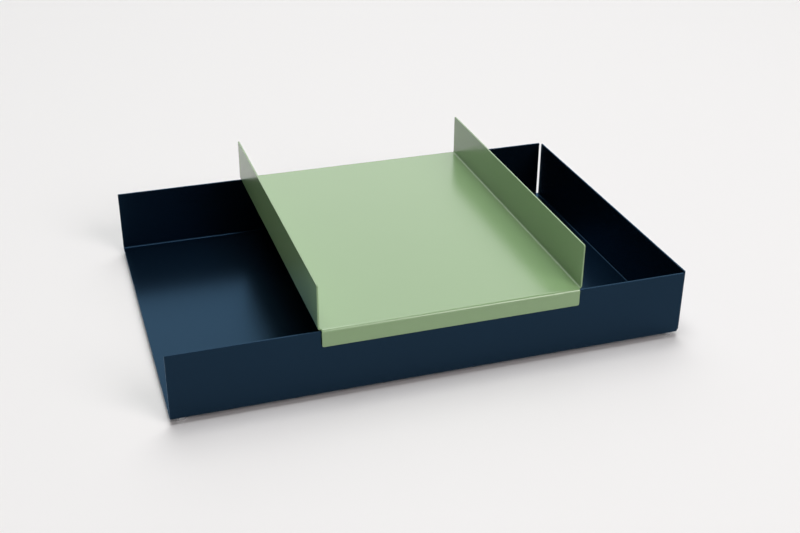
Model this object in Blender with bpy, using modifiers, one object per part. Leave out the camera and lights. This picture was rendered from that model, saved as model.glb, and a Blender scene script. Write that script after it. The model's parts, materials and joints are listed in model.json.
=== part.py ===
"""Desk tray: a folded sheet steel tray, a folded cross tray that rides on its walls, and four bumper feet.

Metres, +Z up. The origin is on the surface that the tray stands on, under the middle of its floor.
+X points to the tray's closed end, and +Y to its rear wall.
"""

import math

import bmesh
import bpy
from mathutils import Matrix, Vector

COLLECTION_NAME = "desk_tray"

# Tray: one sheet with a front, a rear and a right wall. Its left end is open
TRAY_LENGTH = 0.320
TRAY_DEPTH = 0.220
TRAY_WALL_HEIGHT = 0.0425
TRAY_SHEET = 0.0010
TRAY_INNER_BEND = 0.0010
TRAY_CORNER_RADIUS = 0.0005

# Cross tray: one sheet with a flange turned up on each side, and a lip hooked down over each long wall
CROSS_WIDTH = 0.163
CROSS_SHEET = 0.0010
CROSS_INNER_BEND = 0.0010
CROSS_FLANGE_HEIGHT = 0.0291
CROSS_LIP_DROP = 0.0101
CROSS_CORNER_RADIUS = 0.0010
CROSS_SEAT_GAP = 0.0003
CROSS_LIP_CLEARANCE = 0.0005
CROSS_REST_PLACE = 0.0075

# Feet: clear round bumpers stuck under the corners
FOOT_RADIUS = 0.0040
FOOT_SOLE_RADIUS = 0.0030
FOOT_RIM = 0.0008
FOOT_HEIGHT = 0.0029
FOOT_FILM_GAP = 0.0003
FOOT_EDGE_MARGIN = 0.0003

BEND_STEPS = 6
CORNER_STEPS = 4
FOOT_FLANK_STEPS = 6
FOOT_TURN_STEPS = 32
MERGE_DISTANCE = 0.00001
SMOOTH_ANGLE = math.radians(30)
QUARTER_TURN = math.radians(90)
FULL_TURN = math.radians(360)

LEFT = Vector((-1, 0, 0))
RIGHT = Vector((1, 0, 0))
FRONT = Vector((0, -1, 0))
REAR = Vector((0, 1, 0))
UP = Vector((0, 0, 1))
DOWN = Vector((0, 0, -1))


def clear_scene():
    """Remove every object, so that the model starts from nothing."""
    for obj in list(bpy.data.objects):
        bpy.data.objects.remove(obj)


def new_collection(name):
    """Make a collection in the scene."""
    collection = bpy.data.collections.new(name)
    bpy.context.scene.collection.children.link(collection)
    return collection


def make_material(name, colour, roughness, transmission=0.0):
    """Make a material from one Principled shader."""
    material = bpy.data.materials.new(name)
    material.use_nodes = True
    shader = material.node_tree.nodes["Principled BSDF"]
    shader.inputs["Base Color"].default_value = (*colour, 1)
    shader.inputs["Roughness"].default_value = roughness
    shader.inputs["Metallic"].default_value = 0
    shader.inputs["Transmission Weight"].default_value = transmission
    return material


def new_object(name, mesh, material, collection, place):
    """Put a mesh into the scene as a named object with its own material."""
    obj = bpy.data.objects.new(name, mesh)
    obj.location = place
    mesh.materials.append(material)
    collection.objects.link(obj)
    return obj


def flat_floor(bm, left, right, depth):
    """Make the flat part of a sheet's floor: one face in the plane of its underside."""
    middle = Matrix.Translation(((left + right) / 2, 0, 0))
    spread = Matrix.Diagonal(((right - left) / 2, depth / 2, 1, 1))
    grid = bmesh.ops.create_grid(bm, x_segments=1, y_segments=1, size=1, matrix=middle @ spread)
    return grid["verts"][0].link_faces[0]


def edge_towards(face, side):
    """Return the face's edge that lies furthest in a direction."""
    return max(face.edges, key=lambda edge: sum((v.co for v in edge.verts), Vector()).dot(side))


def fold_side(bm, edge, side, turned_to, radius, straight):
    """Bend a sheet along an edge through a quarter turn, and carry it on straight.

    side points out of the floor across the edge, and turned_to is UP or DOWN. radius is the bend's radius
    in the modelled face, and straight is the length beyond it. Returns the free edge's two corners.
    """
    centre = edge.verts[0].co + turned_to * radius
    bent = bmesh.ops.spin(
        bm,
        geom=[edge, *edge.verts],
        cent=centre,
        axis=side.cross(turned_to),
        angle=QUARTER_TURN,
        steps=BEND_STEPS,
    )
    bend_end = [part for part in bent["geom_last"] if isinstance(part, bmesh.types.BMEdge)]
    grown = bmesh.ops.extrude_edge_only(bm, edges=bend_end)
    corners = [part for part in grown["geom"] if isinstance(part, bmesh.types.BMVert)]
    bmesh.ops.translate(bm, verts=corners, vec=turned_to * straight)
    return corners


def finish_sheet(bm, floor, name, corners, corner_radius, thickness, material, collection, place):
    """Round the free corners, face the surface up, and thicken it upwards into the sheet."""
    bmesh.ops.bevel(
        bm,
        geom=corners,
        affect="VERTICES",
        offset=corner_radius,
        segments=CORNER_STEPS,
        profile=0.5,
    )
    bmesh.ops.recalc_face_normals(bm, faces=bm.faces[:])
    if floor.normal.dot(UP) < 0:
        bmesh.ops.reverse_faces(bm, faces=bm.faces[:])
    mesh = bpy.data.meshes.new(name)
    bm.to_mesh(mesh)
    bm.free()
    mesh.shade_smooth()
    mesh.set_sharp_from_angle(angle=SMOOTH_ANGLE)
    obj = new_object(name, mesh, material, collection, place)
    sheet = obj.modifiers.new("sheet", "SOLIDIFY")
    sheet.thickness = thickness
    sheet.offset = 1
    sheet.use_even_offset = True
    return obj


def tray_underside():
    """Height of the tray's underside above the surface it stands on."""
    return FOOT_HEIGHT + FOOT_FILM_GAP


def tray_outer_bend():
    """Outer radius of the tray's bends."""
    return TRAY_INNER_BEND + TRAY_SHEET


def build_tray(material, collection):
    """Build the tray: a floor with three walls, whose ends stop at the line where the next bend starts."""
    bend = tray_outer_bend()
    straight = TRAY_WALL_HEIGHT - bend
    bm = bmesh.new()
    floor = flat_floor(bm, -TRAY_LENGTH / 2, TRAY_LENGTH / 2 - bend, TRAY_DEPTH - 2 * bend)
    front, rear, right = edge_towards(floor, FRONT), edge_towards(floor, REAR), edge_towards(floor, RIGHT)
    corners = fold_side(bm, front, FRONT, UP, bend, straight)
    corners += fold_side(bm, rear, REAR, UP, bend, straight)
    corners += fold_side(bm, right, RIGHT, UP, bend, straight)
    place = (0, 0, tray_underside())
    return finish_sheet(
        bm, floor, "tray", corners, TRAY_CORNER_RADIUS, TRAY_SHEET, material, collection, place
    )


def build_cross_tray(material, collection):
    """Build the cross tray: its floor lies on the long walls, and its lips hang outside them."""
    outer_bend = CROSS_INNER_BEND + CROSS_SHEET
    half_width = CROSS_WIDTH / 2 - outer_bend
    lip_face = TRAY_DEPTH / 2 + CROSS_LIP_CLEARANCE
    flat_depth = 2 * (lip_face - CROSS_INNER_BEND)
    bm = bmesh.new()
    floor = flat_floor(bm, -half_width, half_width, flat_depth)
    left, right = edge_towards(floor, LEFT), edge_towards(floor, RIGHT)
    front, rear = edge_towards(floor, FRONT), edge_towards(floor, REAR)
    flange = CROSS_FLANGE_HEIGHT - outer_bend
    lip = CROSS_LIP_DROP - CROSS_INNER_BEND
    corners = fold_side(bm, left, LEFT, UP, outer_bend, flange)
    corners += fold_side(bm, right, RIGHT, UP, outer_bend, flange)
    corners += fold_side(bm, front, FRONT, DOWN, CROSS_INNER_BEND, lip)
    corners += fold_side(bm, rear, REAR, DOWN, CROSS_INNER_BEND, lip)
    place = (CROSS_REST_PLACE, 0, tray_underside() + TRAY_WALL_HEIGHT + CROSS_SEAT_GAP)
    return finish_sheet(
        bm, floor, "cross_tray", corners, CROSS_CORNER_RADIUS, CROSS_SHEET, material, collection, place
    )


def foot_profile():
    """Return the bumper's half section from its stuck face to its sole, as radius and height."""
    points = [(0, FOOT_HEIGHT), (FOOT_RADIUS, FOOT_HEIGHT)]
    reach = FOOT_RADIUS - FOOT_SOLE_RADIUS
    drop = FOOT_HEIGHT - FOOT_RIM
    for step in range(FOOT_FLANK_STEPS + 1):
        turn = QUARTER_TURN * step / FOOT_FLANK_STEPS
        points.append((FOOT_SOLE_RADIUS + reach * math.cos(turn), drop - drop * math.sin(turn)))
    points.append((0, 0))
    return points


def build_foot(name, x, y, material, collection):
    """Build one bumper foot, turned about its upright axis."""
    points = [(radius, 0, height) for radius, height in foot_profile()]
    edges = [(index, index + 1) for index in range(len(points) - 1)]
    mesh = bpy.data.meshes.new(name)
    mesh.from_pydata(points, edges, [])
    obj = new_object(name, mesh, material, collection, (x, y, 0))
    turn = obj.modifiers.new("turn", "SCREW")
    turn.axis = "Z"
    turn.angle = FULL_TURN
    turn.steps = FOOT_TURN_STEPS
    turn.render_steps = FOOT_TURN_STEPS
    turn.use_merge_vertices = True
    turn.merge_threshold = MERGE_DISTANCE
    turn.use_smooth_shade = True
    return obj


def build_feet(material, collection):
    """Build a foot under each corner, on the flat of the floor just inside the bends."""
    inset = tray_outer_bend() + FOOT_EDGE_MARGIN + FOOT_RADIUS
    x = TRAY_LENGTH / 2 - inset
    y = TRAY_DEPTH / 2 - inset
    corners = (("front_left", -x, -y), ("front_right", x, -y), ("rear_left", -x, y), ("rear_right", x, y))
    return [build_foot(f"foot_{name}", *place, material, collection) for name, *place in corners]


def main():
    """Build the whole object."""
    clear_scene()
    collection = new_collection(COLLECTION_NAME)
    navy = make_material("navy_powder_coat", (0.012, 0.032, 0.055), 0.4)
    green = make_material("green_powder_coat", (0.35, 0.50, 0.32), 0.42)
    clear = make_material("clear_bumper", (0.9, 0.92, 0.93), 0.15, transmission=0.9)
    build_tray(navy, collection)
    build_cross_tray(green, collection)
    build_feet(clear, collection)


main()
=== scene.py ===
"""Dress the desk tray: two folded, powder-coated sheets and four clear feet, in a plain pale studio.

Lengths are in metres and colours are linear RGB. +X points to the tray's closed end, +Y to its rear wall.
"""

import json
import logging
import math
from collections.abc import Callable
from dataclasses import dataclass
from enum import Enum

import bmesh
import bpy
from mathutils import Matrix, Vector


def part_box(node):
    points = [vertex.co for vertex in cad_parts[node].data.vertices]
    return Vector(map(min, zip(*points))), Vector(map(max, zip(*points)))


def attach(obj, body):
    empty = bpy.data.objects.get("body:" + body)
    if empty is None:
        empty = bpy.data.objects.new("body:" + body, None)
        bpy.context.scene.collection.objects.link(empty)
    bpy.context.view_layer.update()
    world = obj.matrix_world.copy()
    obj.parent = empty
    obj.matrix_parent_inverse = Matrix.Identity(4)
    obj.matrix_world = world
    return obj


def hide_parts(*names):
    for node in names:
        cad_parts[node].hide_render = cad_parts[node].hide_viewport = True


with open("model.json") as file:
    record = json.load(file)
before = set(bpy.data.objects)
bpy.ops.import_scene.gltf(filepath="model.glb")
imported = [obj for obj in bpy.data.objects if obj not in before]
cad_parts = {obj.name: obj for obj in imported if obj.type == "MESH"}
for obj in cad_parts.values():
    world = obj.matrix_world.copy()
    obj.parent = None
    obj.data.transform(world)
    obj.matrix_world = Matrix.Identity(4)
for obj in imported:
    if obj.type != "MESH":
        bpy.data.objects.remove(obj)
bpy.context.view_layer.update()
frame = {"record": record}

QUARTER_TURN = math.radians(90)
CUT_EDGE_ANGLE = math.radians(40)
SMOOTH_ANGLE = math.radians(35)
SAME_PLACE = 1e-6

Colour = tuple[float, float, float]
Place = tuple[float, float, float]
EdgeTest = Callable[[bmesh.types.BMEdge], bool]
VertTest = Callable[[bmesh.types.BMVert], bool]

log = logging.getLogger("desk_tray")


class Side(Enum):
    """A side of a sheet's floor, as the direction that points out of it."""

    LEFT = (-1, 0, 0)
    RIGHT = (1, 0, 0)
    FRONT = (0, -1, 0)
    REAR = (0, 1, 0)

    @property
    def outward(self) -> Vector:
        """Unit vector out of the floor."""
        return Vector(self.value)


class Turn(Enum):
    """The way that a fold turns."""

    UP = (0, 0, 1)
    DOWN = (0, 0, -1)

    @property
    def direction(self) -> Vector:
        """Unit vector along the folded wall."""
        return Vector(self.value)


class Foot(Enum):
    """A corner that has a foot, by its CAD node."""

    FRONT_LEFT = "foot_front_left"
    FRONT_RIGHT = "foot_front_right"
    REAR_LEFT = "foot_rear_left"
    REAR_RIGHT = "foot_rear_right"


@dataclass(frozen=True)
class Fold:
    """One quarter-turn fold along a side of a sheet's floor.

    Attributes:
        side: The side that is folded.
        turn: The way that it turns.
        radius: Radius of the floor's lower face round the fold.
        straight: Length of the wall beyond the fold.
    """

    side: Side
    turn: Turn
    radius: float
    straight: float


# Modelling helpers


def select_none() -> None:
    """Deselect every object, so that an operator acts on the next one alone."""
    bpy.ops.object.select_all(action="DESELECT")


def select_only(piece: bpy.types.Object) -> None:
    """Select one object and make it the active one.

    Args:
        piece: The object.
    """
    select_none()
    piece.select_set(True)
    bpy.context.view_layer.objects.active = piece


def select_edges(piece: bpy.types.Object, wanted: EdgeTest) -> None:
    """Select the edges of the mesh in edit mode that a test picks, and nothing else.

    Args:
        piece: The object in edit mode.
        wanted: Function that takes an edge and says whether it is selected.
    """
    bpy.ops.mesh.select_mode(type="EDGE")
    bpy.ops.mesh.select_all(action="DESELECT")
    mesh = bmesh.from_edit_mesh(piece.data)
    for edge in mesh.edges:
        if wanted(edge):
            edge.select_set(True)
    bmesh.update_edit_mesh(piece.data)


def select_verts(piece: bpy.types.Object, wanted: VertTest) -> None:
    """Select the vertices of the mesh in edit mode that a test picks, and nothing else.

    Args:
        piece: The object in edit mode.
        wanted: Function that takes a vertex and says whether it is selected.
    """
    bpy.ops.mesh.select_mode(type="VERT")
    bpy.ops.mesh.select_all(action="DESELECT")
    mesh = bmesh.from_edit_mesh(piece.data)
    for vert in mesh.verts:
        if wanted(vert):
            vert.select_set(True)
    bmesh.update_edit_mesh(piece.data)


def selected_places(piece: bpy.types.Object) -> list[Vector]:
    """Return the places of the selected vertices of the mesh in edit mode.

    Args:
        piece: The object in edit mode.

    Returns:
        One vector for each selected vertex.
    """
    mesh = bmesh.from_edit_mesh(piece.data)
    return [vert.co.copy() for vert in mesh.verts if vert.select]


def apply_modifiers(piece: bpy.types.Object) -> None:
    """Apply every modifier of an object, in order.

    Args:
        piece: The object.
    """
    select_only(piece)
    for modifier in list(piece.modifiers):
        bpy.ops.object.modifier_apply(modifier=modifier.name)


def set_material(piece: bpy.types.Object, material: bpy.types.Material) -> None:
    """Give an object one material in place of any that it has.

    Args:
        piece: The object.
        material: Its material.
    """
    piece.data.materials.clear()
    piece.data.materials.append(material)


# Finishes


class NodeTree:
    """Short ways to add and join nodes in one shader node tree."""

    def __init__(self, tree: bpy.types.NodeTree) -> None:
        """Keep the tree.

        Args:
            tree: The node tree of a material, a group or the world.
        """
        self.tree = tree

    def add(self, kind: str, **settings: object) -> bpy.types.Node:
        """Add a node.

        Args:
            kind: The node's type, without its ShaderNode prefix.
            **settings: Properties to set on the node.

        Returns:
            The new node.
        """
        node = self.tree.nodes.new(f"ShaderNode{kind}")
        for name, value in settings.items():
            setattr(node, name, value)
        return node

    def join(self, source: bpy.types.NodeSocket, target: bpy.types.NodeSocket) -> None:
        """Link an output to an input."""
        self.tree.links.new(source, target)

    def noise(self, vector: bpy.types.NodeSocket, detail: float) -> bpy.types.Node:
        """Add a noise texture that reads a vector.

        Args:
            vector: Output that gives the texture its place.
            detail: Number of finer layers.

        Returns:
            The noise node.
        """
        node = self.add("TexNoise")
        node.inputs["Detail"].default_value = detail
        self.join(vector, node.inputs["Vector"])
        return node

    def spread(self, value: bpy.types.NodeSocket, low: float, high: float) -> bpy.types.NodeSocket:
        """Spread a value from 0 to 1 over a range.

        Args:
            value: Output that gives the value.
            low: Result for 0.
            high: Result for 1.

        Returns:
            Output that gives the result.
        """
        node = self.add("MapRange")
        node.inputs["To Min"].default_value = low
        node.inputs["To Max"].default_value = high
        self.join(value, node.inputs["Value"])
        return node.outputs["Result"]

    def fade(self, value: bpy.types.NodeSocket, none: float, full: float) -> bpy.types.NodeSocket:
        """Ease from 0 to 1 as a value goes from one limit to another.

        Args:
            value: Output that gives the value.
            none: Value at which the result is 0.
            full: Value at which it is 1.

        Returns:
            Output that gives the result.
        """
        node = self.add("MapRange", interpolation_type="SMOOTHSTEP")
        node.inputs["From Min"].default_value = none
        node.inputs["From Max"].default_value = full
        self.join(value, node.inputs["Value"])
        return node.outputs["Result"]

    def combine(
        self, operation: str, first: bpy.types.NodeSocket, second: bpy.types.NodeSocket
    ) -> bpy.types.NodeSocket:
        """Combine two numbers.

        Args:
            operation: Operation of the Math node.
            first: Output that gives the first number.
            second: Output that gives the second number.

        Returns:
            Output that gives the result.
        """
        node = self.add("Math", operation=operation)
        self.join(first, node.inputs[0])
        self.join(second, node.inputs[1])
        return node.outputs["Value"]

    def bump(self, height: bpy.types.NodeSocket, distance: float) -> bpy.types.NodeSocket:
        """Turn a relief into normals.

        Args:
            height: Output that gives the relief, from 0 to 1.
            distance: Height of the relief.

        Returns:
            Output that gives the normals.
        """
        node = self.add("Bump")
        node.inputs["Distance"].default_value = distance
        self.join(height, node.inputs["Height"])
        return node.outputs["Normal"]


def new_group(name: str, inputs: dict[str, float], outputs: list[str]) -> bpy.types.NodeTree:
    """Make a shader node group whose first input is a vector.

    Args:
        name: The group's name.
        inputs: Name and default value of each number that it takes.
        outputs: Name of each number that it gives.

    Returns:
        The empty group.
    """
    group = bpy.data.node_groups.new(name, "ShaderNodeTree")
    group.interface.new_socket(name="Place", in_out="INPUT", socket_type="NodeSocketVector")
    for label, value in inputs.items():
        socket = group.interface.new_socket(name=label, in_out="INPUT", socket_type="NodeSocketFloat")
        socket.default_value = value
    for label in outputs:
        group.interface.new_socket(name=label, in_out="OUTPUT", socket_type="NodeSocketFloat")
    return group


@dataclass
class SurfaceGrain:
    """Node group for the fine relief and unevenness that a moulded or sprayed surface has.

    Attributes:
        name: The group's name.
        peel_share: Share of the relief that the broad swells take from the fine grains.
    """

    name: str = "surface_grain"
    peel_share: float = 0.6

    def build(self) -> bpy.types.NodeTree:
        """Build the group.

        Returns:
            Group that takes Place, Grain Scale, Peel Scale and Cloud Scale, in counts for each metre, and
            gives Relief, Grain and Cloud, each from 0 to 1.
        """
        scales = {"Grain Scale": 2500.0, "Peel Scale": 700.0, "Cloud Scale": 12.0}
        group = new_group(self.name, scales, ["Relief", "Grain", "Cloud"])
        tree = NodeTree(group)
        source = group.nodes.new("NodeGroupInput")
        target = group.nodes.new("NodeGroupOutput")
        grain = tree.noise(source.outputs["Place"], detail=1)
        peel = tree.noise(source.outputs["Place"], detail=2)
        cloud = tree.noise(source.outputs["Place"], detail=3)
        for node, label in ((grain, "Grain Scale"), (peel, "Peel Scale"), (cloud, "Cloud Scale")):
            tree.join(source.outputs[label], node.inputs["Scale"])
        relief = tree.add("Mix", data_type="FLOAT")
        relief.inputs["Factor"].default_value = self.peel_share
        tree.join(grain.outputs["Fac"], relief.inputs["A"])
        tree.join(peel.outputs["Fac"], relief.inputs["B"])
        tree.join(relief.outputs["Result"], target.inputs["Relief"])
        tree.join(grain.outputs["Fac"], target.inputs["Grain"])
        tree.join(cloud.outputs["Fac"], target.inputs["Cloud"])
        return group


@dataclass(frozen=True)
class PowderCoat:
    """A fine semi-gloss powder coat on sheet steel.

    Attributes:
        slot: The record's material slot.
        lean: Colour where the coat lies thinnest.
        full: Colour where it lies thickest.
        smooth: Roughness of its smoothest grains.
        rough: Roughness of its roughest grains.
        metallic: Share of metal flake in it.
        specular_level: Strength of its clear binder's reflections, where 0.5 is plain plastic.
        sheen_tint: Colour that its pigment gives to the reflections at a low angle.
        relief: Height of its relief.
    """

    slot: str
    lean: Colour
    full: Colour
    smooth: float
    rough: float
    metallic: float
    specular_level: float
    sheen_tint: Colour = (1.0, 1.0, 1.0)
    relief: float = 0.000012

    def build(self, grain: bpy.types.NodeTree) -> bpy.types.Material:
        """Build the material.

        Args:
            grain: The surface grain group.

        Returns:
            The material.
        """
        material = bpy.data.materials.new(self.slot)
        material.use_nodes = True
        tree = NodeTree(material.node_tree)
        shader = material.node_tree.nodes["Principled BSDF"]
        shader.inputs["Metallic"].default_value = self.metallic
        shader.inputs["Specular IOR Level"].default_value = self.specular_level
        shader.inputs["Specular Tint"].default_value = (*self.sheen_tint, 1)

        place = tree.add("TexCoord")
        texture = tree.add("Group", node_tree=grain)
        tree.join(place.outputs["Object"], texture.inputs["Place"])

        colour = tree.add("Mix", data_type="RGBA")
        colour.inputs["A"].default_value = (*self.lean, 1)
        colour.inputs["B"].default_value = (*self.full, 1)
        tree.join(texture.outputs["Cloud"], colour.inputs["Factor"])
        tree.join(colour.outputs["Result"], shader.inputs["Base Color"])

        gloss = tree.spread(texture.outputs["Grain"], self.smooth, self.rough)
        tree.join(gloss, shader.inputs["Roughness"])
        tree.join(tree.bump(texture.outputs["Relief"], self.relief), shader.inputs["Normal"])
        return material


@dataclass(frozen=True)
class ClearRubber:
    """Clear soft polyurethane, a little dulled by handling.

    Attributes:
        slot: The record's material slot.
        tint: Colour of the light that it lets through.
        transmission: Share of the light that goes straight through, where the rest is scattered.
        polished: Roughness where it is clearest.
        dulled: Roughness where it is dullest.
        ior: Index of refraction.
        relief: Height of its unevenness.
        scuff_scale: Scuffs for each metre.
    """

    slot: str = "clear_bumper"
    tint: Colour = (0.84, 0.86, 0.87)
    transmission: float = 0.55
    polished: float = 0.12
    dulled: float = 0.24
    ior: float = 1.49
    relief: float = 0.00001
    scuff_scale: float = 900.0

    def build(self, grain: bpy.types.NodeTree) -> bpy.types.Material:
        """Build the material.

        Args:
            grain: The surface grain group.

        Returns:
            The material.
        """
        material = bpy.data.materials.new(self.slot)
        material.use_nodes = True
        tree = NodeTree(material.node_tree)
        shader = material.node_tree.nodes["Principled BSDF"]
        shader.inputs["Base Color"].default_value = (*self.tint, 1)
        shader.inputs["Transmission Weight"].default_value = self.transmission
        shader.inputs["IOR"].default_value = self.ior

        place = tree.add("TexCoord")
        texture = tree.add("Group", node_tree=grain)
        texture.inputs["Peel Scale"].default_value = self.scuff_scale
        tree.join(place.outputs["Object"], texture.inputs["Place"])

        gloss = tree.spread(texture.outputs["Relief"], self.polished, self.dulled)
        tree.join(gloss, shader.inputs["Roughness"])
        tree.join(tree.bump(texture.outputs["Relief"], self.relief), shader.inputs["Normal"])
        return material


# Sheets


@dataclass
class FoldedSheet:
    """A part that is folded from one blank of sheet steel.

    Attributes:
        node: The CAD node that it stands for.
        body: The body that it rides on.
        finish: Its powder coat.
        sheet: Thickness of the blank.
        inner_bend: Radius inside each fold.
        corner_radius: Radius of the blank's free corners.
        edge_ease: Radius that the coat gives the cut edges.
        bend_steps: Facets across a fold.
        corner_steps: Facets round a free corner.
        ease_steps: Facets round a cut edge.
    """

    node: str
    body: str
    finish: PowderCoat
    sheet: float = 0.0010
    inner_bend: float = 0.0010
    corner_radius: float = 0.0005
    edge_ease: float = 0.00022
    bend_steps: int = 16
    corner_steps: int = 8
    ease_steps: int = 4

    def floor(self) -> tuple[Vector, Vector]:
        """Return the lowest and highest corner of the flat of the floor, on its lower face."""
        raise NotImplementedError

    def folds(self) -> list[Fold]:
        """Return the folds, in the order that they are made."""
        raise NotImplementedError

    def build(self) -> bpy.types.Object:
        """Fold the sheet, thicken it and ease its edges.

        Returns:
            The finished piece, riding on its body.
        """
        piece = self.lay_floor()
        bpy.ops.object.mode_set(mode="EDIT")
        corners: list[Vector] = []
        for fold in self.folds():
            corners += self.make_fold(piece, fold)
        self.round_corners(piece, corners)
        self.face_up(piece)
        bpy.ops.object.mode_set(mode="OBJECT")
        self.thicken(piece)
        self.ease_edges(piece)
        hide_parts(self.node)
        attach(piece, self.body)
        log.info("%s: %d faces on body %s", piece.name, len(piece.data.polygons), self.body)
        return piece

    def lay_floor(self) -> bpy.types.Object:
        """Add the flat of the floor as one plane at its size and place.

        Returns:
            The new object, at the origin and unscaled.
        """
        low, high = self.floor()
        size = high - low
        select_none()
        bpy.ops.mesh.primitive_plane_add(size=1, location=(low + high) / 2)
        piece = bpy.context.object
        piece.name = piece.data.name = f"{self.node}_sheet"
        piece.scale = (size.x, size.y, 1)
        bpy.ops.object.transform_apply(location=True, rotation=True, scale=True)
        return piece

    def make_fold(self, piece: bpy.types.Object, fold: Fold) -> list[Vector]:
        """Spin one side of the floor through a quarter turn and extrude the wall beyond it.

        Args:
            piece: The sheet, in edit mode.
            fold: The fold to make.

        Returns:
            The two corners of the wall's free edge.
        """
        low, high = self.floor()
        outward = fold.side.outward
        rim = max(corner.dot(outward) for corner in (low, high))
        height = low.z

        def on_rim(edge: bmesh.types.BMEdge) -> bool:
            """Say whether an edge is the floor's side that is folded."""
            return all(
                abs(vert.co.dot(outward) - rim) < SAME_PLACE and abs(vert.co.z - height) < SAME_PLACE
                for vert in edge.verts
            )

        select_edges(piece, on_rim)
        centre = outward * rim + Vector((0, 0, height)) + fold.turn.direction * fold.radius
        bpy.ops.mesh.spin(
            steps=self.bend_steps,
            angle=QUARTER_TURN,
            center=centre,
            axis=fold.turn.direction.cross(outward),
        )
        rise = fold.turn.direction * fold.straight
        bpy.ops.mesh.extrude_region_move(TRANSFORM_OT_translate={"value": rise})
        return selected_places(piece)

    def round_corners(self, piece: bpy.types.Object, corners: list[Vector]) -> None:
        """Round the free corners of the walls in the plane of the sheet.

        Args:
            piece: The sheet, in edit mode.
            corners: The places of the corners.
        """
        select_verts(piece, lambda vert: any((vert.co - corner).length < SAME_PLACE for corner in corners))
        bpy.ops.mesh.bevel(
            offset=self.corner_radius,
            segments=self.corner_steps,
            profile=0.5,
            affect="VERTICES",
            clamp_overlap=False,
        )

    def face_up(self, piece: bpy.types.Object) -> None:
        """Turn all faces the same way, with the floor's facing up.

        Args:
            piece: The sheet, in edit mode.
        """
        bpy.ops.mesh.select_all(action="SELECT")
        bpy.ops.mesh.remove_doubles(threshold=SAME_PLACE)
        bpy.ops.mesh.normals_make_consistent(inside=False)
        mesh = bmesh.from_edit_mesh(piece.data)
        largest = max(mesh.faces, key=lambda face: face.calc_area())
        if largest.normal.z < 0:
            bpy.ops.mesh.flip_normals()

    def thicken(self, piece: bpy.types.Object) -> None:
        """Thicken the folded surface into a sheet, away from its lower face.

        Args:
            piece: The sheet, in object mode.
        """
        modifier = piece.modifiers.new("sheet", "SOLIDIFY")
        modifier.thickness = self.sheet
        modifier.offset = 1
        modifier.use_even_offset = True
        apply_modifiers(piece)

    def ease_edges(self, piece: bpy.types.Object) -> None:
        """Round the cut edges as the coat rounds them, and shade the sheet smooth.

        Args:
            piece: The sheet, in object mode.
        """
        select_only(piece)
        bpy.ops.object.shade_smooth()
        modifier = piece.modifiers.new("ease", "BEVEL")
        modifier.width = self.edge_ease
        modifier.segments = self.ease_steps
        modifier.limit_method = "ANGLE"
        modifier.angle_limit = CUT_EDGE_ANGLE
        modifier.use_clamp_overlap = False
        modifier.miter_outer = "MITER_ARC"
        weighted = piece.modifiers.new("even_shading", "WEIGHTED_NORMAL")
        weighted.mode = "FACE_AREA"
        weighted.weight = 100
        weighted.keep_sharp = False
        apply_modifiers(piece)

    def dress(self, piece: bpy.types.Object, grain: bpy.types.NodeTree) -> None:
        """Give the sheet its powder coat.

        Args:
            piece: The sheet.
            grain: The surface grain group.
        """
        set_material(piece, self.finish.build(grain))


@dataclass
class Tray(FoldedSheet):
    """The tray: a floor with a front, a rear and a right wall, open at its left end."""

    def floor(self) -> tuple[Vector, Vector]:
        """Return the corners of the flat, inside the folds of three sides."""
        low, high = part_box(self.node)
        bend = self.inner_bend + self.sheet
        return Vector((low.x, low.y + bend, low.z)), Vector((high.x - bend, high.y - bend, low.z))

    def folds(self) -> list[Fold]:
        """Return the three folds that turn the walls up."""
        low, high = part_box(self.node)
        bend = self.inner_bend + self.sheet
        straight = high.z - low.z - bend
        return [Fold(side, Turn.UP, bend, straight) for side in (Side.FRONT, Side.REAR, Side.RIGHT)]


@dataclass
class CrossTray(FoldedSheet):
    """The cross tray: a floor with two flanges turned up and two lips hooked down.

    Attributes:
        floor_mount: Name of the record's mount on top of its floor.
    """

    floor_mount: str = "cross_tray_floor"

    def underside(self) -> float:
        """Return the height of the floor's lower face."""
        mount = next(m for m in frame["record"]["mounts"] if m["name"] == self.floor_mount)
        return mount["pos_m"][2] - self.sheet

    def floor(self) -> tuple[Vector, Vector]:
        """Return the corners of the flat, inside the folds of all four sides."""
        low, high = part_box(self.node)
        flange = self.inner_bend + self.sheet
        lip = Vector((flange, flange, 0))
        height = self.underside()
        return Vector((*(low + lip).xy, height)), Vector((*(high - lip).xy, height))

    def folds(self) -> list[Fold]:
        """Return the folds of the flanges and of the lips."""
        low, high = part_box(self.node)
        bend = self.inner_bend + self.sheet
        flange = high.z - self.underside() - bend
        lip = self.underside() - low.z - self.inner_bend
        flanges = [Fold(side, Turn.UP, bend, flange) for side in (Side.LEFT, Side.RIGHT)]
        lips = [Fold(side, Turn.DOWN, self.inner_bend, lip) for side in (Side.FRONT, Side.REAR)]
        return flanges + lips


# Feet


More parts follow.
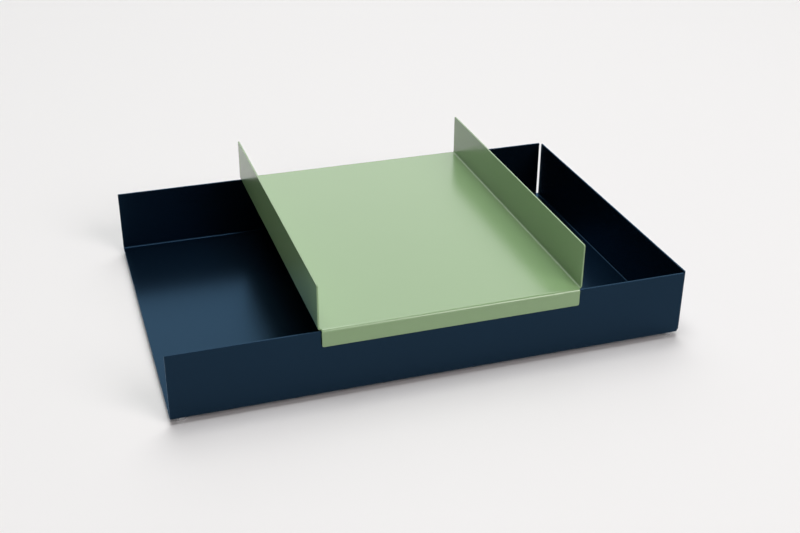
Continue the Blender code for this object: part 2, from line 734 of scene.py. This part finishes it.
@dataclass
class BumperFoot:
    """A clear round bumper that is stuck under a corner of the tray.

    Attributes:
        corner: The corner that it is under.
        body: The body that it rides on.
        finish: What it is made of. Not used: main gives the bumpers their material.
        rim: Height of its upright rim under the stuck face.
        sole_share: Radius of its sole as a share of its own.
        film_inset: Step from its rim in to the edge of the film that sticks it on.
        film_gap: Least space left between the film and the tray.
        sides: Facets round it.
        flank_steps: Rings down its flank.
    """

    corner: Foot
    body: str = "tray"
    finish: ClearRubber = ClearRubber()
    rim: float = 0.0008
    sole_share: float = 0.75
    film_inset: float = 0.0002
    film_gap: float = 0.00002
    sides: int = 64
    flank_steps: int = 10

    def build(self, underside: float) -> bpy.types.Object:
        """Turn the bumper, from the film down to its sole.

        Args:
            underside: Height of the face that it is stuck to.

        Returns:
            The finished piece, riding on its body.
        """
        low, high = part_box(self.corner.value)
        centre = (low + high) / 2
        radius = (high.x - low.x) / 2
        select_none()
        bpy.ops.mesh.primitive_circle_add(
            vertices=self.sides,
            radius=radius,
            fill_type="NGON",
            location=(centre.x, centre.y, high.z),
        )
        piece = bpy.context.object
        piece.name = piece.data.name = f"{self.corner.value}_bumper"
        bpy.ops.object.transform_apply(location=True, rotation=True, scale=True)
        bpy.ops.object.mode_set(mode="EDIT")
        bpy.ops.mesh.select_all(action="SELECT")
        self.draw_down(centre, 1.0, self.rim)
        share = 1.0
        drop = high.z - low.z - self.rim
        depth = 0.0
        for step in range(1, self.flank_steps + 1):
            turn = QUARTER_TURN * step / self.flank_steps
            new_share = self.sole_share + (1 - self.sole_share) * math.cos(turn)
            new_depth = drop * math.sin(turn)
            self.draw_down(centre, new_share / share, new_depth - depth)
            share, depth = new_share, new_depth
        self.add_film(piece, high.z, underside - self.film_gap)
        bpy.ops.mesh.select_all(action="SELECT")
        bpy.ops.mesh.normals_make_consistent(inside=False)
        bpy.ops.object.mode_set(mode="OBJECT")
        bpy.ops.object.shade_smooth_by_angle(angle=SMOOTH_ANGLE)
        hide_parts(self.corner.value)
        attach(piece, self.body)
        log.info("%s: %d faces on body %s", piece.name, len(piece.data.polygons), self.body)
        return piece

    def draw_down(self, centre: Vector, spread: float, drop: float) -> None:
        """Extrude the selected face down, and scale it about the bumper's axis.

        Args:
            centre: A point on the axis.
            spread: Scale of the new face.
            drop: Length of the extrusion.
        """
        bpy.ops.mesh.extrude_region_move(TRANSFORM_OT_translate={"value": (0, 0, -drop)})
        bpy.ops.transform.resize(value=(spread, spread, 1), center_override=centre)

    def add_film(self, piece: bpy.types.Object, top: float, stuck: float) -> None:
        """Inset the bumper's top and raise the film that sticks it on.

        Args:
            piece: The bumper, in edit mode.
            top: Height of its top.
            stuck: Height of the film's upper face.
        """
        bpy.ops.mesh.select_all(action="DESELECT")
        bpy.ops.mesh.select_mode(type="FACE")
        mesh = bmesh.from_edit_mesh(piece.data)
        for face in mesh.faces:
            if all(abs(vert.co.z - top) < SAME_PLACE for vert in face.verts):
                face.select_set(True)
        bmesh.update_edit_mesh(piece.data)
        bpy.ops.mesh.inset(thickness=self.film_inset)
        bpy.ops.mesh.extrude_region_move(TRANSFORM_OT_translate={"value": (0, 0, stuck - top)})


# Studio


@dataclass(frozen=True)
class SoftLight:
    """A large round soft box that faces the object.

    Attributes:
        name: What it is.
        azimuth: Its direction from the object, from +X towards +Y, in degrees.
        elevation: Its height over the horizon, in degrees.
        power: Its power in watts.
        distance: How far it stands from the origin.
        width: Its diameter.
        colour: Its colour.
    """

    name: str
    azimuth: float
    elevation: float
    power: float
    distance: float = 4.0
    width: float = 2.6
    colour: Colour = (1.0, 1.0, 1.0)

    def build(self) -> bpy.types.Object:
        """Add the light.

        Returns:
            The light.
        """
        turn, lift = math.radians(self.azimuth), math.radians(self.elevation)
        level = math.cos(lift)
        towards = Vector((level * math.cos(turn), level * math.sin(turn), math.sin(lift)))
        select_none()
        bpy.ops.object.light_add(type="AREA", location=towards * self.distance)
        light = bpy.context.object
        light.name = self.name
        light.rotation_euler = (-towards).to_track_quat("-Z", "Y").to_euler()
        light.data.shape = "DISK"
        light.data.size = self.width
        light.data.energy = self.power
        light.data.color = self.colour
        log.info("%s: %.0f W", self.name, self.power)
        return light


@dataclass(frozen=True)
class Camera:
    """The camera, at the viewing angle of the photograph.

    Attributes:
        place: Where it stands.
        yaw: Turn of its view from +Y to +X, in degrees.
        pitch: Tilt of its view under the horizon, in degrees.
        roll: Turn about its own view, in degrees.
        lens: Focal length in millimetres.
        sensor: Width of the sensor in millimetres.
    """

    place: Place = (-0.211757, -0.675088, 0.397054)
    yaw: float = 18.215
    pitch: float = 28.087
    roll: float = 0.388
    lens: float = 54.346
    sensor: float = 36.0

    def build(self) -> bpy.types.Object:
        """Add the camera and make it the scene's own.

        Returns:
            The camera.
        """
        select_none()
        bpy.ops.object.camera_add()
        camera = bpy.context.object
        turn = (
            Matrix.Rotation(math.radians(-self.yaw), 4, "Z")
            @ Matrix.Rotation(math.radians(90 - self.pitch), 4, "X")
            @ Matrix.Rotation(math.radians(self.roll), 4, "Z")
        )
        camera.matrix_world = Matrix.Translation(self.place) @ turn
        camera.data.sensor_fit = "HORIZONTAL"
        camera.data.sensor_width = self.sensor
        camera.data.lens = self.lens
        bpy.context.scene.camera = camera
        return camera


@dataclass
class Studio:
    """The plain pale floor, the lights over it, and the dim room with its pale backdrop.

    Attributes:
        floor_size: Side of the floor.
        fade_start: How far from the object the floor starts to fade into the backdrop.
        floor_colour: Its colour.
        floor_roughness: Its roughness.
        room_colour: Colour of the room's own light.
        room_strength: Its strength.
        backdrop_strength: Brightness of its backdrop where it is seen or mirrored.
        backdrop_top: Elevation in degrees at which the backdrop ends.
        backdrop_fade: Degrees over which it ends, on each side of that elevation.
        camera: The camera.
    """

    floor_size: float = 6.0
    fade_start: float = 1.2
    floor_colour: Colour = (0.835, 0.833, 0.828)
    floor_roughness: float = 0.7
    room_colour: Colour = (1.0, 1.0, 1.0)
    room_strength: float = 0.01
    backdrop_strength: float = 0.86
    backdrop_top: float = 46.0
    backdrop_fade: float = 8.0
    camera: Camera = Camera()

    def lights(self) -> list[SoftLight]:
        """Return the soft boxes."""
        return [
            SoftLight("overhead", azimuth=180, elevation=88, power=93),
            SoftLight("front", azimuth=300, elevation=33, power=66, width=2.3, colour=(1.0, 0.93, 0.94)),
            SoftLight("back_high", azimuth=62, elevation=62, power=28),
            SoftLight("back_wall", azimuth=74, elevation=45, power=72, distance=5.0, width=6.0),
        ]

    def build(self) -> None:
        """Build the floor, the room's light, the soft boxes and the camera."""
        self.build_floor()
        self.build_room()
        for light in self.lights():
            light.build()
        self.camera.build()
        bpy.context.scene.view_settings.view_transform = "Standard"

    def build_floor(self) -> bpy.types.Object:
        """Lay the floor that the tray stands on.

        Returns:
            The floor.
        """
        select_none()
        bpy.ops.mesh.primitive_plane_add(size=self.floor_size)
        floor = bpy.context.object
        floor.name = "studio_floor"
        set_material(floor, self.floor_material())
        return floor

    def floor_material(self) -> bpy.types.Material:
        """Build the floor's material, which fades into the backdrop away from the object.

        Returns:
            The material.
        """
        material = bpy.data.materials.new("pale_floor")
        material.use_nodes = True
        shader = material.node_tree.nodes["Principled BSDF"]
        shader.inputs["Base Color"].default_value = (*self.floor_colour, 1)
        shader.inputs["Roughness"].default_value = self.floor_roughness
        tree = NodeTree(material.node_tree)
        place = tree.add("TexCoord")
        reach = tree.add("VectorMath", operation="LENGTH")
        tree.join(place.outputs["Object"], reach.inputs[0])
        cover = tree.fade(reach.outputs["Value"], none=self.floor_size / 2, full=self.fade_start)
        tree.join(cover, shader.inputs["Alpha"])
        return material

    def build_room(self) -> None:
        """Put a dim room round the scene, whose pale backdrop is seen and mirrored."""
        world = bpy.data.worlds.new("room")
        world.use_nodes = True
        tree = NodeTree(world.node_tree)
        shade = world.node_tree.nodes["Background"]
        shade.inputs["Color"].default_value = (*self.room_colour, 1)
        shown = tree.combine("MULTIPLY", self.sight(tree), self.backdrop(tree))
        strength = tree.spread(shown, self.room_strength, self.backdrop_strength)
        tree.join(strength, shade.inputs["Strength"])
        bpy.context.scene.world = world

    def sight(self, tree: NodeTree) -> bpy.types.NodeSocket:
        """Tell the rays that see the room, straight or in gloss and glass, from those that light the object.

        Args:
            tree: The world's nodes.

        Returns:
            Output that gives 1 for a ray that sees and 0 for one that lights.
        """
        rays = tree.add("LightPath")
        mirrored = tree.combine("MAXIMUM", rays.outputs["Is Glossy Ray"], rays.outputs["Is Transmission Ray"])
        return tree.combine("MAXIMUM", rays.outputs["Is Camera Ray"], mirrored)

    def backdrop(self, tree: NodeTree) -> bpy.types.NodeSocket:
        """Mark the directions in which the room has its pale backdrop.

        Args:
            tree: The world's nodes.

        Returns:
            Output that gives 1 on the backdrop and 0 on the ceiling.
        """
        direction = tree.add("TexCoord")
        height = tree.add("SeparateXYZ")
        tree.join(direction.outputs["Generated"], height.inputs["Vector"])
        above = math.sin(math.radians(self.backdrop_top + self.backdrop_fade))
        below = math.sin(math.radians(self.backdrop_top - self.backdrop_fade))
        return tree.fade(height.outputs["Z"], none=above, full=below)


NAVY = PowderCoat(
    slot="navy_powder_coat",
    lean=(0.0085, 0.0230, 0.0425),
    full=(0.0095, 0.0260, 0.0490),
    smooth=0.20,
    rough=0.28,
    metallic=0.8,
    specular_level=0.3,
    sheen_tint=(0.55, 0.75, 0.95),
)
GREEN = PowderCoat(
    slot="green_powder_coat",
    lean=(0.212, 0.352, 0.155),
    full=(0.224, 0.370, 0.165),
    smooth=0.20,
    rough=0.28,
    metallic=0.0,
    specular_level=0.95,
)


def main() -> None:
    """Build the sheets and the feet, then the studio round them."""
    logging.basicConfig(level=logging.INFO, format="%(message)s")
    grain = SurfaceGrain().build()
    tray = Tray(node="tray", body="tray", finish=NAVY)
    cross_tray = CrossTray(node="cross_tray", body="cross_tray", finish=GREEN, corner_radius=0.0010)
    for sheet in (tray, cross_tray):
        sheet.dress(sheet.build(), grain)
    rubber = ClearRubber().build(grain)
    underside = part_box(tray.node)[0].z
    for corner in Foot:
        set_material(BumperFoot(corner).build(underside), rubber)
    Studio().build()


if __name__ == "__main__":
    main()
